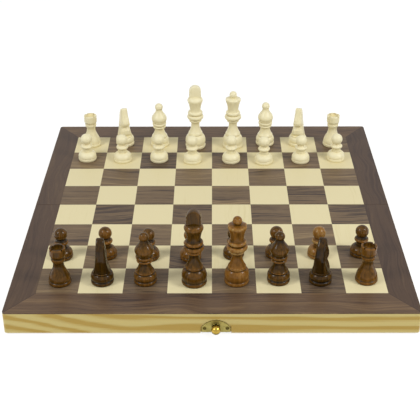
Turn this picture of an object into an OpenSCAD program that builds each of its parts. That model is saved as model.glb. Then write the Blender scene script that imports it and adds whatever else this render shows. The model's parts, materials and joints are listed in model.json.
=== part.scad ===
// Folding chess box: two shallow wooden trays hinged along one long edge.
// Opened flat, as modelled, the tray backs make an 8 by 8 chess board.
// Folded, the trays close on each other and hold the 32 chessmen.
// Millimetres, +Z up. The near half is the box, the far half is its lid.

/* [Board] */
// Side of one square, from line to line
square = 40; // [38:0.5:46]
// How far the border laps over the outer files
lap_side = 2.5; // [0:0.5:4]
// How far the border laps over the outer ranks
lap_end = 0; // [0:0.5:4]
// Visible width of the border beside the outer files
border_side = 25; // [16:0.5:30]
// Visible width of the border beyond the outer ranks
border_end = 30; // [20:0.5:40]
// Width of the gap between the two halves along the fold
fold_gap = 0.4; // [0.2:0.1:1]
// Radius of the board's corners, seen from above
corner_r = 3; // [1:0.5:6]
// Thickness of the border and square veneers
veneer_t = 1; // [0.6:0.1:1.6]

/* [Tray] */
// Height of one tray, from its rim to the playing surface
tray_h = 21.2; // [19:0.2:30]
// Thickness of the pine rails
rail_t = 9; // [8.5:0.5:14]
// Thickness of the plywood panel under the veneers
panel_t = 3; // [2:0.5:5]
// Width of the step in the rails that carries the panel
rebate_w = 4.5; // [3:0.5:6]
// Thickness of the felt lining
felt_t = 1; // [0.6:0.1:2]
// Gap between the felt's edge and the rails
felt_gap = 0.5; // [0.2:0.1:2]

/* [Hinges] */
// Distance of each hinge's middle from the middle of the board
hinge_x = 112; // [70:1:130]
// Length of a hinge
hinge_len = 38; // [30:1:50]
// Width of one leaf, from the pin's axis
leaf_w = 7.6; // [7:0.2:8]
// Thickness of a leaf
leaf_t = 1; // [0.8:0.1:1.4]
// Radius of the hinge barrel
barrel_r = 1.5; // [1.4:0.1:2]
// Radius of the hinge pin
pin_r = 0.75; // [0.6:0.05:0.8]
// Knuckles in one hinge, odd
knuckles = 5; // [3:2:7]
// Distance of the leaf's screws from its middle
screw_x = 12; // [9:1:13]

/* [Clasp] */
// Distance of the clasp from the middle of the board
clasp_x = 3.5; // [-20:0.5:20]
// Width of the recess routed for the clasp
recess_w = 27; // [24:0.5:34]
// Height of the recess where its arc starts
recess_side = 7; // [5:0.5:9]
// Height of the recess at the middle of its arc
recess_h = 14.2; // [11:0.2:15]
// Depth of the recess
recess_d = 1.6; // [1.2:0.1:1.8]
// Width of the gap beside the clasp plates
plate_gap = 0.9; // [0.3:0.1:1.4]
// Width of the gap over the clasp plates
plate_top_gap = 1.9; // [0.5:0.1:2.4]
// Thickness of the clasp plates
plate_t = 0.6; // [0.4:0.1:1]
// Distance of the clasp screws from its middle
clasp_screw_x = 10; // [9:0.5:10.5]
// Height of the clasp screws above the rim
clasp_screw_z = 4.2; // [3.6:0.2:5]
// Height of the knob's axis above the rim
knob_z = 6; // [5:0.5:8]
// Radius of the knob's ball
knob_r = 4.2; // [3:0.1:4.4]
// Radius of the knob's neck
knob_neck_r = 2; // [1.5:0.1:2.4]
// Reach of the knob from its plate to the middle of its ball
knob_reach = 5.2; // [5:0.1:6]
// Width of the hasp's tongue
tongue_w = 12; // [11:0.5:14]
// Thickness of the tongue
tongue_t = 0.8; // [0.6:0.1:1.2]
// How far the tongue's end passes the middle of its hole
tongue_end = 7; // [6:0.5:8]
// Radius of the hasp's knuckles
hasp_barrel_r = 1.3; // [1.2:0.1:1.6]
// Radius of the hasp's pin
hasp_pin_r = 0.6; // [0.4:0.05:0.65]

/* [Chessmen] */
// Height of the king
king_h = 75; // [70:1:84]
// Height of the queen
queen_h = 68; // [62:0.5:76]
// Height of the bishop
bishop_h = 51.5; // [46:0.5:58]
// Height of the knight
knight_h = 45; // [42:1:52]
// Height of the rook
rook_h = 37; // [34:0.5:44]
// Height of the pawn
pawn_h = 31; // [28:0.5:35]
// Radius of the king's foot
king_r = 11.6; // [10:0.1:13]
// Radius of the queen's foot
queen_r = 11.4; // [10:0.1:13]
// Radius of the bishop's and knight's feet
bishop_r = 10.5; // [9.5:0.1:12]
// Radius of the rook's foot
rook_r = 10.4; // [9.5:0.1:12]
// Radius of the pawn's foot
pawn_r = 10.1; // [9:0.1:11.5]
// Number of notches in the queen's coronet
queen_notches = 8; // [6:1:10]

/* [Hidden] */
FILES = ["h", "g", "f", "e", "d", "c", "b", "a"];
BACK_RANK = ["rook", "knight", "bishop", "king", "queen", "bishop", "knight", "rook"];
// How far each man was set down from the middle of its square, by file from h.
DARK_BACK_SLIP = [[2, -2], [0.5, -1], [-0.5, -0.5], [4, -2], [2.5, -0.5], [0.5, 0.5], [-1.5, -0.5], [0.5, 1]];
DARK_PAWN_SLIP = [[-1.5, 0.5], [0, 2.5], [0.5, 0], [0, -1], [0.5, 2.5], [0.5, 3.5], [0.5, 3], [1, 5.5]];
LIGHT_PAWN_SLIP = [[-0.5, 4], [-0.5, 1.5], [0.5, 2], [-2, -1.5], [1.5, -0.5], [-2, -3.5], [-0.5, -0.5],
    [-0.5, 3.5]];
LIGHT_BACK_SLIP = [[0.5, 1.5], [-1, 3], [-0.5, 1.5], [1, -3], [4, -2.5], [1.5, 4], [-0.5, 3], [-1, 1]];
// How far each man is turned from facing the other side, in degrees: only the knights show it.
STRAIGHT = [for (f = FILES) 0];
DARK_BACK_TURN = [0, 0, 0, 0, 0, 0, -25, 0];
LIGHT_BACK_TURN = [0, 20, 0, 0, 0, 0, -15, 0];
// One row of men: colour name, squares' row from the near edge, rank, pieces, slips, turns, way they face.
PAWNS = [for (f = FILES) "pawn"];
ROWS = [
    ["dark", 0, "8", BACK_RANK, DARK_BACK_SLIP, DARK_BACK_TURN, 0],
    ["dark", 1, "7", PAWNS, DARK_PAWN_SLIP, STRAIGHT, 0],
    ["light", 6, "2", PAWNS, LIGHT_PAWN_SLIP, STRAIGHT, 180],
    ["light", 7, "1", BACK_RANK, LIGHT_BACK_SLIP, LIGHT_BACK_TURN, 180]
];
function man_name(row, i) = str(row[0], "_", row[3][i], "_", FILES[i], row[2]);

BOX_NODES = [
    "box_front_rail", "box_hinge_rail", "box_end_rails", "box_panel", "box_border",
    "box_dark_squares", "box_light_squares", "box_felt", "box_hinge_leaves", "box_hinge_screws",
    "catch_plate", "catch_knob", "catch_screws",
    "lid_back_rail", "lid_hinge_rail", "lid_end_rails", "lid_panel", "lid_border",
    "lid_dark_squares", "lid_light_squares", "lid_felt", "lid_hinge_leaves", "lid_hinge_screws",
    "hinge_pins", "hasp_plate", "hasp_screws", "hasp_tongue", "hasp_pin"
];

$fn = 48;

// Clearances.
run_gap = 0.05;      // radial, of a pin in the knuckles that turn on it
seat_gap = 0.05;     // round a screw in its hole
barrel_gap = 0.4;    // round the hinge barrel
knuckle_gap = 0.2;   // between neighbouring knuckles
hole_gap = 0.4;      // round the knob's ball in the tongue's hole
swing_gap = 1.2;     // by which the tongue's hole is longer than wide, so that it swings over the ball
knuckle_lift = 0.4;  // of the hasp's knuckles off their plate

// Cuts run this far past the faces they open.
past = 1;

// Board.
field_x = 4 * square - lap_side;
field_y = 4 * square - lap_end;
half_w = field_x + border_side;
half_d = field_y + border_end;
surface_z = tray_h;
rail_h = tray_h - veneer_t;
panel_z = rail_h - panel_t;
pocket = rail_t - rebate_w;

// Hinge screws.
screw_shank_r = 0.9;
screw_head_r = 1.8;
screw_len = 8;
screw_y = (leaf_w + barrel_r + barrel_gap) / 2;
slot_w = 0.5;
slot_d = 0.5;

// Clasp.
clasp_shank_r = 0.8;
clasp_head_r = 1.7;
clasp_head_t = 0.9;
clasp_screw_len = 6;
rivet_len = 3;
hasp_side_w = 4;
hasp_mid_w = 5;
collar_t = 1;
face_y = half_d;
floor_y = half_d - recess_d;
plate_y = floor_y + plate_t;
hasp_axis_y = plate_y + hasp_barrel_r + knuckle_lift;
hasp_axis_z = hasp_barrel_r + knuckle_gap;
hole_reach = hasp_axis_z + knob_z;
tongue_len = hole_reach + swing_gap + tongue_end;

// The fold line lies this far from the origin, which is under the middle of the whole object.
knob_tip = floor_y + plate_t + knob_reach + knob_r;
tongue_tip = hasp_axis_y + tongue_len;
fold_y = (knob_tip - tongue_tip) / 2;
rim_z = barrel_r;

// Colours.
pine = [0.83, 0.74, 0.5];
walnut = [0.4, 0.32, 0.28];
maple = [0.87, 0.82, 0.65];
ply = [0.75, 0.65, 0.48];
green_felt = [0.12, 0.25, 0.16];
brass = [0.78, 0.66, 0.32];
dark_stain = [0.36, 0.2, 0.08];
boxwood = [0.9, 0.83, 0.6];

// Places a half: side -1 is the near box, side 1 the far lid, both drawn on the +Y side.
module half(side) {
    translate([0, fold_y, rim_z]) mirror([0, side < 0 ? 1 : 0, 0]) children();
}

// Places the clasp's parts, drawn round x = 0, in the middle of the clasp.
module at_clasp() {
    translate([clasp_x, 0, 0]) children();
}

// ---- wood ----

module box_block(x0, x1, y0, y1, z0, z1) {
    translate([x0, y0, z0]) cube([x1 - x0, y1 - y0, z1 - z0]);
}

// Plan of one half, with its two outer corners rounded.
module plan() {
    translate([-half_w, 0]) square([2 * half_w, half_d - corner_r]);
    translate([corner_r - half_w, 0]) square([2 * (half_w - corner_r), half_d]);
    for (s = [-1, 1]) translate([s * (half_w - corner_r), half_d - corner_r]) circle(r = corner_r);
}

module panel_block() {
    box_block(-half_w + pocket, half_w - pocket, pocket, half_d - pocket, panel_z, rail_h);
}

module leaf_recess(x) {
    translate([x - hinge_len / 2, 0, 0]) {
        translate([0, -past, -past]) cube([hinge_len, leaf_w + past, leaf_t + past]);
        translate([-barrel_gap, 0, 0]) rotate([0, 90, 0])
            cylinder(r = barrel_r + barrel_gap, h = hinge_len + 2 * barrel_gap);
    }
}

module screw_bore(x, y, shank) {
    translate([x, y, -past]) cylinder(r = shank + seat_gap, h = screw_len + past + seat_gap);
}

// The rail along the outer edge, with the clasp's recess; the box's also holds the knob's rivet.
module outer_rail(side) {
    color(pine) difference() {
        linear_extrude(rail_h) intersection() {
            plan();
            translate([-half_w, half_d - rail_t]) square([2 * half_w, rail_t]);
        }
        panel_block();
        at_clasp() {
            translate([0, floor_y, 0]) rotate([90, 0, 0]) mirror([0, 0, 1])
                linear_extrude(recess_d + past) recess_outline(0, 0);
            for (s = [-1, 1]) clasp_screw_at(s)
                cylinder(r = clasp_shank_r + seat_gap, h = clasp_screw_len + seat_gap);
            if (side < 0) knob_bore();
        }
    }
}

module hinge_rail() {
    color(pine) difference() {
        box_block(-half_w, half_w, fold_gap / 2, rail_t, 0, rail_h);
        panel_block();
        for (x = [-hinge_x, hinge_x]) {
            leaf_recess(x);
            for (s = [-1, 1]) screw_bore(x + s * screw_x, screw_y, screw_shank_r);
        }
    }
}

module end_rails() {
    color(pine) for (s = [0, 1]) mirror([s, 0, 0]) difference() {
        box_block(half_w - rail_t, half_w, rail_t, half_d - rail_t, 0, rail_h);
        panel_block();
    }
}

module panel() {
    color(ply) panel_block();
}

module felt() {
    inset = rail_t + felt_gap;
    color(green_felt)
        box_block(-half_w + inset, half_w - inset, inset, half_d - inset, panel_z - felt_t, panel_z);
}

// The border of one half: a strip along the outer edge, joined at its mitres to one beside each outer file.
module border() {
    color(walnut) translate([0, 0, rail_h]) linear_extrude(veneer_t) difference() {
        plan();
        translate([-field_x, -past]) square([2 * field_x, field_y + past]);
        translate([-half_w - past, -past]) square([2 * (half_w + past), past + fold_gap / 2]);
    }
}

// The squares of one colour: file i counts from -X, row j from the fold outwards.
module squares(parity, tone) {
    color(tone) for (i = [0:7]) for (j = [0:3]) if ((i + j) % 2 == parity)
        box_block(max(-field_x, (i - 4) * square), min(field_x, (i - 3) * square),
            max(fold_gap / 2, j * square), min(field_y, (j + 1) * square), rail_h, surface_z);
}

// ---- hinges ----

knuckle_len = hinge_len / knuckles;

// A leaf with every second knuckle, from knuckle number `first`.
module leaf(first, bore) {
    knuckle_w = knuckle_len - knuckle_gap;
    difference() {
        union() {
            translate([-hinge_len / 2, barrel_r + barrel_gap, 0])
                cube([hinge_len, leaf_w - barrel_r - barrel_gap, leaf_t]);
            for (k = [first:2:knuckles - 1])
                translate([-hinge_len / 2 + k * knuckle_len + knuckle_gap / 2, 0, 0]) {
                    cube([knuckle_w, barrel_r + 2 * barrel_gap, leaf_t]);
                    rotate([0, 90, 0]) cylinder(r = barrel_r, h = knuckle_w);
                }
        }
        translate([-hinge_len, 0, 0]) rotate([0, 90, 0]) cylinder(r = bore, h = 2 * hinge_len);
        for (s = [-1, 1]) translate([s * screw_x, screw_y, 0]) {
            translate([0, 0, -past]) cylinder(r = screw_shank_r + seat_gap, h = leaf_t + 2 * past);
            screw_head_cone(seat_gap);
        }
    }
}

module screw_head_cone(gap) {
    head_t = screw_head_r - screw_shank_r;
    cylinder(r1 = screw_head_r + gap, r2 = screw_shank_r + gap, h = head_t);
}

module leaves(first, bore) {
    color(brass) for (x = [-hinge_x, hinge_x]) translate([x, 0, 0]) leaf(first, bore);
}

module hinge_screws() {
    color(brass) for (x = [-hinge_x, hinge_x]) for (s = [-1, 1]) translate([x + s * screw_x, screw_y, 0])
        difference() {
            union() {
                screw_head_cone(0);
                cylinder(r = screw_shank_r, h = screw_len);
            }
            translate([-screw_head_r - past, -slot_w / 2, -past])
                cube([2 * (screw_head_r + past), slot_w, slot_d + past]);
        }
}

module hinge_pins() {
    color(brass) for (x = [-hinge_x, hinge_x]) translate([x - hinge_len / 2, 0, 0])
        rotate([0, 90, 0]) cylinder(r = pin_r, h = hinge_len);
}

// ---- clasp ----

// The routed recess: straight sides with an arc over them, or the plate in it, smaller by two gaps.
module recess_outline(side_gap, top_gap) {
    w = recess_w / 2 - side_gap;
    rise = recess_h - recess_side;
    r = (recess_w * recess_w / 4 + rise * rise) / (2 * rise);
    intersection() {
        translate([-w, side_gap > 0 ? 0 : -past]) square([2 * w, recess_h + past]);
        translate([0, recess_h - r]) circle(r = r - top_gap, $fn = 96);
    }
}

module clasp_screw_at(s) {
    translate([s * clasp_screw_x, plate_y + clasp_head_t, clasp_screw_z]) rotate([90, 0, 0]) children();
}

module clasp_plate_body() {
    difference() {
        translate([0, floor_y, 0]) rotate([90, 0, 0]) mirror([0, 0, 1])
            linear_extrude(plate_t) recess_outline(plate_gap, plate_top_gap);
        for (s = [-1, 1]) clasp_screw_at(s)
            cylinder(r = clasp_shank_r + seat_gap, h = clasp_screw_len);
    }
}

// The hole that the knob's neck goes through, in the plate and in the rail behind it.
module knob_bore() {
    translate([0, plate_y + past, knob_z]) rotate([90, 0, 0])
        cylinder(r = knob_neck_r + seat_gap, h = plate_t + rivet_len + past + seat_gap);
}

module catch_plate() {
    color(brass) difference() {
        clasp_plate_body();
        knob_bore();
    }
}

module clasp_screws() {
    color(brass) for (s = [-1, 1]) clasp_screw_at(s) {
        difference() {
            rotate_extrude() polygon(concat([[0, clasp_head_t]], [[0, 0]],
                [for (a = [0:15:90]) [clasp_head_r * sin(a), clasp_head_t * (1 - cos(a))]]));
            translate([-clasp_head_r, -slot_w / 2, -past]) cube([2 * clasp_head_r, slot_w, slot_d + past]);
        }
        translate([0, 0, slot_d]) cylinder(r = clasp_shank_r, h = clasp_screw_len - slot_d);
    }
}

// A turned knob: its neck is riveted through the plate, with a collar outside and a ball at the end.
module catch_knob() {
    color(brass) translate([0, plate_y, knob_z]) rotate([-90, 0, 0]) {
        translate([0, 0, -plate_t - rivet_len])
            cylinder(r = knob_neck_r, h = plate_t + rivet_len + knob_reach);
        rotate_extrude() polygon([[0, 0], [knob_r * 0.86, 0], [knob_r * 0.9, collar_t / 2],
            [knob_r * 0.8, collar_t], [0, collar_t]]);
        translate([0, 0, knob_reach]) sphere(r = knob_r);
    }
}

// The plate on the lid's face, with a knuckle at each side of the tongue's.
module hasp_plate() {
    color(brass) difference() {
        union() {
            clasp_plate_body();
            for (s = [-1, 1])
                hasp_knuckle(s * (hasp_mid_w / 2 + knuckle_gap + hasp_side_w / 2), hasp_side_w, -1);
        }
        hasp_bore(hasp_pin_r);
    }
}

// A rolled knuckle with the web that joins it to the plate (toward -Y) or the tongue (toward +Y).
module hasp_knuckle(x, w, side) {
    reach = side < 0 ? hasp_axis_y - floor_y : hasp_barrel_r + 1;
    translate([x - w / 2, hasp_axis_y, hasp_axis_z]) {
        rotate([0, 90, 0]) cylinder(r = hasp_barrel_r, h = w);
        translate([0, side < 0 ? -reach : 0, side < 0 ? 0 : -tongue_t / 2])
            cube([w, reach, side < 0 ? hasp_barrel_r : tongue_t]);
    }
}

module hasp_bore(r) {
    translate([-tongue_w, hasp_axis_y, hasp_axis_z]) rotate([0, 90, 0]) cylinder(r = r, h = 2 * tongue_w);
}

// The tongue lies open, pointing away from the lid, with a hole that drops over the knob.
module hasp_tongue() {
    color(brass) difference() {
        union() {
            hasp_knuckle(0, hasp_mid_w, 1);
            translate([0, hasp_axis_y, hasp_axis_z - tongue_t / 2]) linear_extrude(tongue_t) tongue_outline();
        }
        hasp_bore(hasp_pin_r + run_gap);
        for (y = [hole_reach, hole_reach + swing_gap]) translate([0, hasp_axis_y + y, 0])
            cylinder(r = knob_r + hole_gap, h = rail_h);
        translate([-knob_r - hole_gap, hasp_axis_y + hole_reach, 0])
            cube([2 * (knob_r + hole_gap), swing_gap, rail_h]);
    }
}

module tongue_outline() {
    root = hasp_barrel_r + knuckle_gap;
    straight = tongue_len - tongue_w / 2;
    translate([-tongue_w / 2, root]) square([tongue_w, straight - root]);
    translate([0, straight]) circle(r = tongue_w / 2);
}

module hasp_pin() {
    pin_len = hasp_mid_w + 2 * (knuckle_gap + hasp_side_w);
    color(brass) translate([-pin_len / 2, hasp_axis_y, hasp_axis_z]) rotate([0, 90, 0])
        cylinder(r = hasp_pin_r, h = pin_len);
}

// ---- chessmen: turned profiles of [radius, height] ----

// A bead: half a rounded ring standing out from radius r - b to r.
function bead(r, z0, z1, b, n = 6) = [for (k = [0:n]) let (a = -90 + 180 * k / n)
    [r - b + b * cos(a), (z0 + z1) / 2 + (z1 - z0) / 2 * sin(a)]];
// A slow bend from one radius to another, upright at both ends.
function bend(r0, z0, r1, z1, n = 8) = [for (k = [0:n]) let (t = k / n)
    [r0 + (r1 - r0) * (1 - cos(180 * t)) / 2, z0 + (z1 - z0) * t]];
// A hollow sweep that starts sloping and ends upright, as a stem does above its foot.
function sweep(r0, z0, r1, z1, n = 7) = [for (k = [0:n]) let (t = k / n)
    [r1 + (r0 - r1) * pow(1 - t, 1.9), z0 + (z1 - z0) * t]];
// A crown's side: upright where it starts, then flaring out.
function flare(r0, z0, r1, z1, n = 7) = [for (k = [0:n]) let (t = k / n)
    [r0 + (r1 - r0) * pow(t, 1.9), z0 + (z1 - z0) * t]];
// A dome that starts upright and ends sloping in.
function dome(r0, z0, r1, z1, n = 6) = [for (k = [0:n]) let (a = 72 * k / n)
    [r1 + (r0 - r1) * (cos(a) - cos(72)) / (1 - cos(72)), z0 + (z1 - z0) * sin(a) / sin(72)]];
// The part of a ball above the place where its neck of radius r_neck meets it.
function ball(r, z_top, r_neck, n = 10) = [for (k = [0:n])
    let (a0 = -acos(r_neck / r), a = a0 + (90 - a0) * k / n) [r * cos(a), z_top - r + r * sin(a)]];

// A drawn profile at its named size: its widest radius becomes r and its top h.
function sized(points, r, h) = let (wide = max([for (p = points) p[0]]), top = max([for (p = points) p[1]]))
    [for (p = points) [p[0] * r / wide, p[1] * h / top]];

foot_t = 3.6;
groove = 0.5;
// The ring under every man, with the groove over it.
function ring(r) = concat(
    [[0, 0], [r - 0.7, 0]],
    bead(r, 0.3, foot_t, 0.6, 4),
    [[r - groove - 0.3, foot_t + 0.3]]
);
// The ring and a full round over it, widest at a share of its height, up to the radius where the stem starts.
function foot(r, round_h, r_top, widest = 0.3) = concat(
    ring(r),
    bend(r - groove - 0.1, foot_t + 0.5, r - 0.1, foot_t + 0.5 + round_h * widest, 3),
    dome(r - 0.1, foot_t + 0.6 + round_h * widest, r_top, foot_t + round_h)
);

function pawn_profile() = sized(concat(
    foot(10.1, 7, 4.9, 0.04),
    [[4.8, 12.4], [4.7, 14.2]],
    bead(6.6, 14.9, 18.1, 1.5),
    [[4.6, 18.8], [4.2, 19.8]],
    ball(6.2, 31, 4),
    [[0, 31]]
), pawn_r, pawn_h);

// The tower's rim is flat on top, with a shallow cup in it.
function rook_profile() = sized(concat(
    ring(10.4),
    bend(9.9, 4.2, 4.9, 20),
    bend(4.9, 20.8, 6.3, 25, 4),
    [[6.45, 26.2], [6, 27.1]],
    bend(6.3, 27.7, 7.2, 30, 3),
    [[7.2, 32.2], [7.2, 36.5], [6.7, 37], [5.2, 37], [4.8, 34], [0, 34]]
), rook_r, rook_h);

function bishop_profile() = sized(concat(
    foot(10.5, 7, 8.4),
    bead(8.7, 10.8, 12.6, 0.8, 4),
    sweep(8.1, 12.8, 5.4, 20),
    [[5.3, 21]],
    bead(7.4, 21.6, 24.6, 1.7),
    bead(8, 24.9, 28.4, 1.3),
    bend(7.7, 29, 8.7, 33.2, 4),
    bend(8.65, 33.6, 3.6, 44),
    ball(4.5, 51.5, 3.5),
    [[0, 51.5]]
), bishop_r, bishop_h);

function queen_profile() = sized(concat(
    foot(11.4, 11.2, 8.2),
    bead(8.5, 15, 17, 0.8, 4),
    sweep(8.2, 17.2, 4.7, 27.6),
    [[4.8, 30]],
    bead(7, 31, 34.4, 2),
    bead(9.5, 34.8, 39.4, 1.6),
    bead(8.2, 40, 44, 1.6, 5),
    flare(6.1, 45.5, 8.8, 57.3),
    [[8.9, 58.2], [8.4, 59.3], [5.2, 60.2], [3, 60.6]],
    ball(4.2, 68, 2.8),
    [[0, 68]]
), queen_r, queen_h);

function king_profile() = sized(concat(
    foot(11.6, 12, 8),
    bead(8.2, 15.8, 17.8, 0.8, 4),
    sweep(7.9, 18, 4.7, 28),
    [[4.8, 30.4]],
    bead(7.1, 31.4, 35, 2),
    bead(9.3, 35.4, 39.8, 1.6),
    bead(8.4, 40.4, 44.4, 1.6, 5),
    flare(6.1, 45.6, 8.7, 57),
    [[8.75, 57.8], [8.4, 59.2], [7.5, 60.4], [5.6, 61.9], [0, 62.4]]
), king_r, crown_z);

// The crown's top, and the flat arch that stands on it with a notch in each side.
crown_z = king_h * 0.832;
finial_w = king_r * 1.155;
finial_t = king_r * 0.62;
finial_notch_r = king_r * 0.07;
finial_seat = king_r * 0.18;
module king_finial() {
    arch_z = king_h - finial_w / 2;
    translate([0, finial_t / 2, 0]) rotate([90, 0, 0]) linear_extrude(finial_t) difference() {
        union() {
            translate([-finial_w / 2, crown_z - finial_seat])
                square([finial_w, arch_z - crown_z + finial_seat]);
            translate([0, arch_z]) circle(r = finial_w / 2, $fn = 64);
        }
        for (s = [-1, 1]) translate([s * finial_w / 2, arch_z - finial_notch_r]) circle(r = finial_notch_r);
    }
}

knight_foot_h = knight_h * 0.27;
module knight_foot() {
    rotate_extrude() polygon(sized(concat(
        foot(10.5, 7, 8.6),
        bead(8.4, 10.8, 12.2, 0.6, 4),
        [[0, 12.2]]
    ), bishop_r, knight_foot_h));
}

// The horse's head and neck from the side, as [forward, height] with the height from the foot's top.
knight_side = [[5.8, 0], [7.2, 3], [6.8, 7], [4.6, 10.6], [3.6, 13.2], [5.2, 13.4], [7.6, 13], [9.2, 14.4],
    [9.6, 16.8], [8.4, 19.8], [6.2, 23.6], [4.8, 27.2], [3.8, 30.6], [2.8, 33], [-0.6, 32.6],
    [-4.6, 29], [-7.2, 22.8], [-8.2, 16.6], [-8.1, 10], [-7.6, 4.4], [-7, 0]];
// The same head from the front, as [half width, height].
knight_front = [[7.6, 0], [7, 2.5], [6.3, 5], [5.8, 8], [5.2, 13], [4.7, 18], [4.3, 23], [3.8, 28],
    [3.6, 33]];
module knight_head() {
    wide = bishop_r / 10.5;
    tall = (knight_h - knight_foot_h) / 33;
    last = len(knight_front) - 1;
    right = [for (p = knight_front) [p[0] * wide, p[1] * tall]];
    left = [for (k = [0:last]) [-right[last - k][0], right[last - k][1]]];
    translate([0, 0, knight_foot_h]) intersection() {
        rotate([90, 0, 90]) linear_extrude(2 * bishop_r, center = true)
            polygon([for (p = knight_side) [p[0] * wide, p[1] * tall]]);
        rotate([90, 0, 0]) linear_extrude(2 * bishop_r, center = true) polygon(concat(right, left));
    }
}

// The coronet's scallops and the rook's notches are cut out of the turned men.
queen_rim_z = queen_h * 0.856;
queen_rim_r = queen_r * 0.78;
queen_notch_r = queen_r * 0.15;
queen_notch_d = queen_r * 0.07;
rook_notch_w = rook_r * 0.175;
rook_notch_d = rook_h * 0.043;

module man_shape(kind) {
    if (kind == "pawn") rotate_extrude() polygon(pawn_profile());
    if (kind == "bishop") rotate_extrude() polygon(bishop_profile());
    if (kind == "rook") difference() {
        rotate_extrude() polygon(rook_profile());
        for (a = [45, 135]) rotate([0, 0, a]) translate([-rook_r, -rook_notch_w / 2, rook_h - rook_notch_d])
            cube([2 * rook_r, rook_notch_w, rook_notch_d + past]);
    }
    if (kind == "queen") difference() {
        rotate_extrude() polygon(queen_profile());
        for (k = [0:queen_notches - 1]) rotate([0, 0, (k + 0.5) * 360 / queen_notches])
            translate([queen_rim_r + queen_notch_r - queen_notch_d, 0, queen_rim_z - 2 * queen_notch_r])
                cylinder(r = queen_notch_r, h = 4 * queen_notch_r, $fn = 24);
    }
    if (kind == "king") {
        rotate_extrude() polygon(king_profile());
        king_finial();
    }
    if (kind == "knight") {
        knight_foot();
        knight_head();
    }
}

// Man number i of a row, standing on its square.
module man(row, i) {
    slip = row[4][i];
    x = (i - 3.5) * square + slip[0];
    y = (row[1] - 3.5) * square + slip[1];
    color(row[0] == "dark" ? dark_stain : boxwood)
        translate([x, fold_y + y, rim_z + surface_z]) rotate([0, 0, row[6] + row[5][i]]) man_shape(row[3][i]);
}

half(-1) outer_rail(-1);  // box_front_rail
half(-1) hinge_rail();  // box_hinge_rail
half(-1) end_rails();  // box_end_rails
half(-1) panel();  // box_panel
half(-1) border();  // box_border
half(-1) squares(1, walnut);  // box_dark_squares
half(-1) squares(0, maple);  // box_light_squares
half(-1) felt();  // box_felt
half(-1) leaves(0, pin_r);  // box_hinge_leaves
half(-1) hinge_screws();  // box_hinge_screws
half(-1) at_clasp() catch_plate();
half(-1) at_clasp() catch_knob();
half(-1) at_clasp() clasp_screws();  // catch_screws
half(1) outer_rail(1);  // lid_back_rail
half(1) hinge_rail();  // lid_hinge_rail
half(1) end_rails();  // lid_end_rails
half(1) panel();  // lid_panel
half(1) border();  // lid_border
half(1) squares(0, walnut);  // lid_dark_squares
half(1) squares(1, maple);  // lid_light_squares
half(1) felt();  // lid_felt
half(1) leaves(1, pin_r + run_gap);  // lid_hinge_leaves
half(1) hinge_screws();  // lid_hinge_screws
half(-1) hinge_pins();
half(1) at_clasp() hasp_plate();
half(1) at_clasp() clasp_screws();  // hasp_screws
half(1) at_clasp() hasp_tongue();
half(1) at_clasp() hasp_pin();
for (row = ROWS) for (i = [0:7])
    man(row, i);
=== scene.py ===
"""Folding chess box with its chessmen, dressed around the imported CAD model.

The trays, veneers, hinges and clasp keep their CAD solids and get wood and brass finishes. The felt and all
the chessmen are surfaces worked out here with numpy. Sizes are in millimetres until a mesh is made, and
places come from the frame.
"""

import json
import math

import bpy
import numpy as np
from bpy.props import FloatProperty, FloatVectorProperty, IntProperty, PointerProperty
from bpy.types import Operator, Panel, PropertyGroup
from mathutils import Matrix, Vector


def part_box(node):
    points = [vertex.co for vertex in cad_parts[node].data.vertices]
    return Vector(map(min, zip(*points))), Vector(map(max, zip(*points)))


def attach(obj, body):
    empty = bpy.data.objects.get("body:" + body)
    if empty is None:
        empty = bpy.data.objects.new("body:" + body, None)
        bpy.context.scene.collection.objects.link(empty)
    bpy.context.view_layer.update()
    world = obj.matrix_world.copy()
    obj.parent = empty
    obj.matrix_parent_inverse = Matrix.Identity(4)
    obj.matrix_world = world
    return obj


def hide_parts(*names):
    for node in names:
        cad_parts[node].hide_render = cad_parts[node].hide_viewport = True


bl_info = {
    "name": "Folding chess box",
    "version": (1, 0, 0),
    "blender": (4, 5, 0),
    "location": "View3D > Sidebar > Chess box",
    "description": "Dresses the packed folding chess box and its chessmen",
    "category": "Object",
}

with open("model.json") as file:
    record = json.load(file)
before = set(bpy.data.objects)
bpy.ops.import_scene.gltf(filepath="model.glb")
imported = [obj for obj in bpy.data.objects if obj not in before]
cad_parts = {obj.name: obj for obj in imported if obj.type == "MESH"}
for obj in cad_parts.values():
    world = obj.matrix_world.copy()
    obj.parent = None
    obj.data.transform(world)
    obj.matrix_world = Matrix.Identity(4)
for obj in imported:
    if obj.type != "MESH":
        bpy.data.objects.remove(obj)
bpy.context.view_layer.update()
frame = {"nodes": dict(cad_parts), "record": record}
MM = 0.001  # metres in a millimetre


def linear(hex_colour):
    """The linear colour of an sRGB hex value: each channel c becomes ((c + 0.055) / 1.055) to the 2.4."""
    channels = [int(hex_colour[i : i + 2], 16) / 255 for i in (1, 3, 5)]
    return tuple(c / 12.92 if c <= 0.04045 else ((c + 0.055) / 1.055) ** 2.4 for c in channels)


def node_box(name):
    """The lowest and highest corner of a CAD node at rest, in millimetres."""
    low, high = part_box(name)
    return np.array(low) / MM, np.array(high) / MM


# The board's own measures in mm, read off the frame: half its size each way from the fold line, where the
# border ends and the squares begin, and the height of the playing surface.
BORDER_LOW, BORDER_HIGH = node_box("box_border")
SQUARES_LOW, SQUARES_HIGH = node_box("box_light_squares")
HALF_W = BORDER_HIGH[0]
FOLD_Y = (BORDER_HIGH[1] + node_box("lid_border")[0][1]) / 2
HALF_D = FOLD_Y - BORDER_LOW[1]
FIELD_X = SQUARES_HIGH[0]
FIELD_Y = FOLD_Y - SQUARES_LOW[1]
SURFACE_Z = BORDER_HIGH[2]
SQUARE = 40.0  # the side of a whole square; the border laps over the outer files

# ---- what a user may change ----


def colour(name, description, hex_colour):
    """A colour property with its sRGB hex default."""
    return FloatVectorProperty(
        name=name, description=description, subtype="COLOR", size=3, min=0, max=1, default=linear(hex_colour)
    )


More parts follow.
